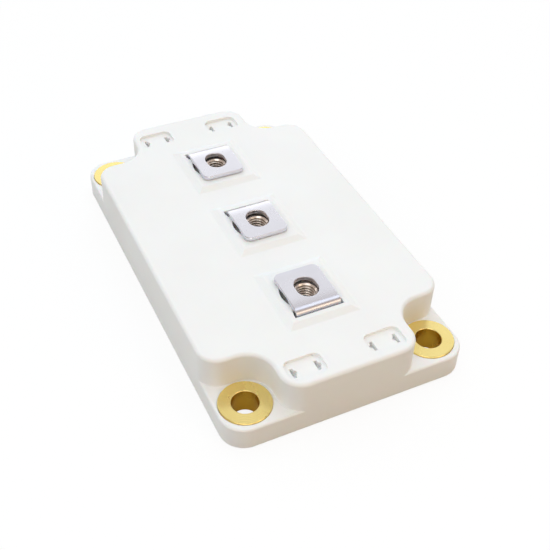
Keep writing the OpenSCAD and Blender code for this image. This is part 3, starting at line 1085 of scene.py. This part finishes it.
@dataclass(frozen=True)
class SoftBox:
    """A rectangular lamp behind a diffuser, or a panel that only metal and gloss show.

    A lamp whose image would glare in flat faces is matt, and a weaker panel stands in for it in mirrors.

    Attributes:
        name: Its place in the studio.
        place: Where it stands.
        size: Its width and height.
        radiance: Brightness of its face, where 1 is a white surface in full light.
        tint: Its sRGB hex colour.
        shown_in: The surfaces that it reaches.
        aim: The point that it faces.
    """

    name: str
    place: tuple[float, float, float]
    size: tuple[float, float]
    radiance: float
    tint: str = WHITE
    shown_in: Shown = Shown.EVERYTHING
    aim: tuple[float, float, float] = (0.0, 0.0, 0.0)

    def hang(self) -> None:
        """Hang the lamp, whose power is its radiance times pi times its area."""
        lamp = bpy.data.lights.new(self.name, "AREA")
        lamp.shape = "RECTANGLE"
        lamp.size, lamp.size_y = self.size
        lamp.energy = self.radiance * math.pi * self.size[0] * self.size[1]
        lamp.color = linear(self.tint)[:3]
        held = add_object(self.name, lamp)
        held.visible_diffuse = self.shown_in is not Shown.MIRRORS
        held.visible_glossy = self.shown_in is not Shown.MATT
        held.location = self.place
        held.rotation_mode = "QUATERNION"
        held.rotation_quaternion = (Vector(self.aim) - Vector(self.place)).to_track_quat("-Z", "Y")


@dataclass
class Studio:
    """A white sweep under soft lamps, and the camera at the photograph's place.

    Attributes:
        camera_place: Where the camera stands.
        camera_aim: The point on the floor at the middle of the picture.
        camera_roll: Turn of the camera about its line of sight.
        lens: Focal length in millimetres on a sensor of Blender's default width.
        floor_side: Side of the floor.
        floor_gap: Distance from the plate's underside down to the floor.
        floor_tint: Colour of the light that the floor throws back on the object.
        floor_shade: Share of real shadow in what the camera sees of the floor near the object.
        shadow_reach: Distances from the middle between which that share falls to nothing.
        far_wall: Direction of the white wall behind the object.
        light_reach: Shares of that direction in a ray at which the near wall ends and this one begins.
        light_far: Light from that wall and from the sides.
        light_near: Light from the warm wall behind the camera.
        mirror_wall: Direction of the white that metal shows, which lies low on the far side.
        mirror_reach: Shares of that direction at which the near wall ends and the white begins.
        mirror_near: What metal shows of the near wall.
        lamps: The lamps.
    """

    camera_place: tuple[float, float, float] = (163.01 * MM, -75.71 * MM, 161.99 * MM)
    camera_aim: tuple[float, float, float] = (4.86 * MM, 3.16 * MM, 0.0)
    camera_roll: float = math.radians(1.863)
    lens: float = 58.55
    floor_side: float = 6.0
    floor_gap: float = 0.02 * MM
    floor_tint: str = "#B0AAA0"
    floor_shade: float = 0.12
    shadow_reach: tuple[float, float] = (80 * MM, 260 * MM)
    far_wall: tuple[float, float, float] = (-1.0, 0.0, 0.2)
    light_reach: tuple[float, float] = (-0.6, 0.2)
    light_far: str = "#F3FAFF"
    light_near: str = "#66543D"
    mirror_wall: tuple[float, float, float] = (-0.9, 0.43, -0.4)
    mirror_reach: tuple[float, float] = (0.0, 0.42)
    mirror_near: str = "#B5A79E"
    lamps: tuple[SoftBox, ...] = (
        SoftBox("softbox_above", (0.02, 0.22, 0.7), (0.36, 0.38), 1.2, "#DDEEFF"),
        SoftBox("softbox_left", (0.36, -0.42, 0.36), (0.5, 0.5), 1.4, "#FCF8F4", Shown.MATT),
        SoftBox("panel_front", (0.307, -0.257, 0.512), (0.36, 0.36), 1.3, "#FCF8F4", Shown.MIRRORS),
        SoftBox("softbox_right", (0.55, 0.317, 0.296), (0.32, 0.32), 3.4, "#FFE0B6", Shown.MATT),
        SoftBox(
            "panel_right",
            (0.53, 0.25, 0.33),
            (0.34, 0.26),
            1.4,
            "#FFE6C4",
            Shown.MIRRORS,
            aim=(0.03, 0.0, 0.0),
        ),
        SoftBox(
            "panel_left",
            (0.58, -0.14, 0.18),
            (0.34, 0.26),
            3.5,
            "#FFF6E6",
            Shown.MIRRORS,
            aim=(0.045, -0.02, 0.007),
        ),
        SoftBox("softbox_far", (-0.18, 0.06, 0.28), (0.25, 0.25), 0.6, "#F6F8FF", Shown.MATT),
        SoftBox(
            "back_wall",
            (-0.6, 0.28, 0.21),
            (0.8, 0.3),
            0.55,
            shown_in=Shown.MIRRORS,
            aim=(0.0, 0.0, 0.02),
        ),
    )

    def set_camera(self) -> None:
        """Set up the camera: aimed down the line of sight, then turned about it."""
        lens = bpy.data.cameras.new("camera")
        lens.lens = self.lens
        camera = add_object("camera", lens)
        sight = Vector(self.camera_aim) - Vector(self.camera_place)
        camera.location = self.camera_place
        camera.rotation_mode = "QUATERNION"
        roll = Quaternion((0, 0, 1), self.camera_roll)
        camera.rotation_quaternion = sight.to_track_quat("-Z", "Y") @ roll
        bpy.context.scene.camera = camera

    def lay_floor(self) -> None:
        """Lay the floor, which the camera sees as white paper with a faint shadow."""
        half = self.floor_side / 2
        reach = np.array([-half, half])
        x, y = np.meshgrid(reach, reach, indexing="ij")
        floor = grid_mesh("floor", np.stack([x, y, 0 * x - self.floor_gap], axis=-1), wrap=False)
        material = bpy.data.materials.new("paper_sweep_matt_white")
        material.use_nodes = True
        tree = material.node_tree
        tree.nodes.clear()
        path = add_node(tree, "ShaderNodeLightPath").outputs
        shown = self.seen(tree)
        tint = add_node(
            tree,
            "ShaderNodeMix",
            {"data_type": "RGBA", TONE_A: linear(self.floor_tint), TONE_B: linear(WHITE)},
            {FACTOR: shown},
        )
        paper = add_node(tree, "ShaderNodeBsdfDiffuse", links={"Color": tint.outputs[MIXED]})
        white = add_node(tree, "ShaderNodeEmission", {"Strength": 1.0})
        place = add_node(tree, "ShaderNodeTexCoord").outputs["Object"]
        away = add_node(tree, "ShaderNodeVectorMath", {"operation": "LENGTH"}, {0: place})
        plain = add_node(
            tree,
            "ShaderNodeMapRange",
            {
                "From Min": self.shadow_reach[0],
                "From Max": self.shadow_reach[1],
                "To Min": 1 - self.floor_shade,
                "To Max": 1.0,
            },
            {"Value": away.outputs["Value"]},
        )
        clear = add_node(
            tree,
            "ShaderNodeMath",
            {"operation": "MULTIPLY"},
            {0: path["Is Camera Ray"], 1: plain.outputs["Result"]},
        )
        surface = add_node(
            tree,
            "ShaderNodeMixShader",
            links={0: clear.outputs["Value"], 1: paper.outputs["BSDF"], 2: white.outputs["Emission"]},
        )
        add_node(tree, "ShaderNodeOutputMaterial", links={"Surface": surface.outputs["Shader"]})
        floor.data.materials.append(material)

    def light_sky(self) -> None:
        """Light the room: a white far wall and a warm near one, and plain white where the camera looks."""
        world = bpy.data.worlds.new("studio")
        world.use_nodes = True
        tree = world.node_tree
        tree.nodes.clear()
        path = add_node(tree, "ShaderNodeLightPath").outputs
        light = self.wall(tree, self.far_wall, self.light_reach, (self.light_near, self.light_far))
        mirror = self.wall(tree, self.mirror_wall, self.mirror_reach, (self.mirror_near, WHITE))
        room = add_node(
            tree,
            "ShaderNodeMix",
            {"data_type": "RGBA"},
            {FACTOR: self.seen(tree), TONE_A: light, TONE_B: mirror},
        )
        shown = add_node(
            tree,
            "ShaderNodeMix",
            {"data_type": "RGBA", TONE_B: linear(WHITE)},
            {FACTOR: path["Is Camera Ray"], TONE_A: room.outputs[MIXED]},
        )
        sky = add_node(
            tree, "ShaderNodeBackground", {"Strength": 1.0}, {"Color": shown.outputs[MIXED]}
        )
        add_node(tree, "ShaderNodeOutputWorld", links={"Surface": sky.outputs["Background"]})
        bpy.context.scene.world = world

    def wall(
        self,
        tree: bpy.types.NodeTree,
        facing: tuple[float, float, float],
        reach: tuple[float, float],
        tones: tuple[str, str],
    ) -> bpy.types.NodeSocket:
        """Give a colour that passes from the near side of the room to the far side.

        Args:
            tree: The node tree of the world.
            facing: Direction of the far side.
            reach: Shares of that direction in a ray at which the near colour ends and the far begins.
            tones: The near and the far colour.

        Returns:
            The socket with that colour.
        """
        ray = add_node(tree, "ShaderNodeTexCoord").outputs["Generated"]
        towards = add_node(
            tree, "ShaderNodeVectorMath", {"operation": "DOT_PRODUCT", 1: facing}, {0: ray}
        )
        share = add_node(
            tree,
            "ShaderNodeMapRange",
            {"From Min": reach[0], "From Max": reach[1]},
            {"Value": towards.outputs["Value"]},
        )
        return add_node(
            tree,
            "ShaderNodeMix",
            {"data_type": "RGBA", TONE_A: linear(tones[0]), TONE_B: linear(tones[1])},
            {FACTOR: share.outputs["Result"]},
        ).outputs[MIXED]

    def seen(self, tree: bpy.types.NodeTree) -> bpy.types.NodeSocket:
        """Give 1 for a ray from the camera, from a mirror or through a clear piece, and 0 otherwise.

        Args:
            tree: The node tree that asks.

        Returns:
            The socket with that value.
        """
        path = add_node(tree, "ShaderNodeLightPath").outputs
        mirrored = add_node(
            tree,
            "ShaderNodeMath",
            {"operation": "MAXIMUM"},
            {0: path["Is Glossy Ray"], 1: path["Is Transmission Ray"]},
        )
        return add_node(
            tree,
            "ShaderNodeMath",
            {"operation": "MAXIMUM"},
            {0: path["Is Camera Ray"], 1: mirrored.outputs["Value"]},
        ).outputs["Value"]

    def build(self) -> None:
        """Set up the floor, the sky, the lamps and the camera."""
        bpy.context.scene.view_settings.view_transform = "Standard"
        self.lay_floor()
        self.light_sky()
        for lamp in self.lamps:
            lamp.hang()
        self.set_camera()


def main() -> None:
    """Build the object piece by piece, then the studio round it."""
    logging.basicConfig(level=logging.INFO, format="%(name)s: %(message)s")
    Skin("housing", Slot.HOUSING, MOULDED_PBT).build()
    Skin("baseplate", Slot.PLATE, NICKEL_PLATE, softness=0.2 * MM).build()
    for place in ("rear_left", "rear_right", "front_left", "front_right"):
        Bushing(f"bushing_{place}").build()
    Terminal("anode_terminal_1", Fold.TO_REAR, Foot.UNDER_TAB).build()
    Terminal("cathode_terminal", Fold.TO_REAR, Foot.AWAY).build()
    Terminal("anode_terminal_2", Fold.TO_FRONT, Foot.UNDER_TAB).build()
    for number in (1, 2, 3):
        Nut(f"terminal_nut_{number}").build()
    Circuit().dress()
    Studio().build()


if __name__ == "__main__":
    main()
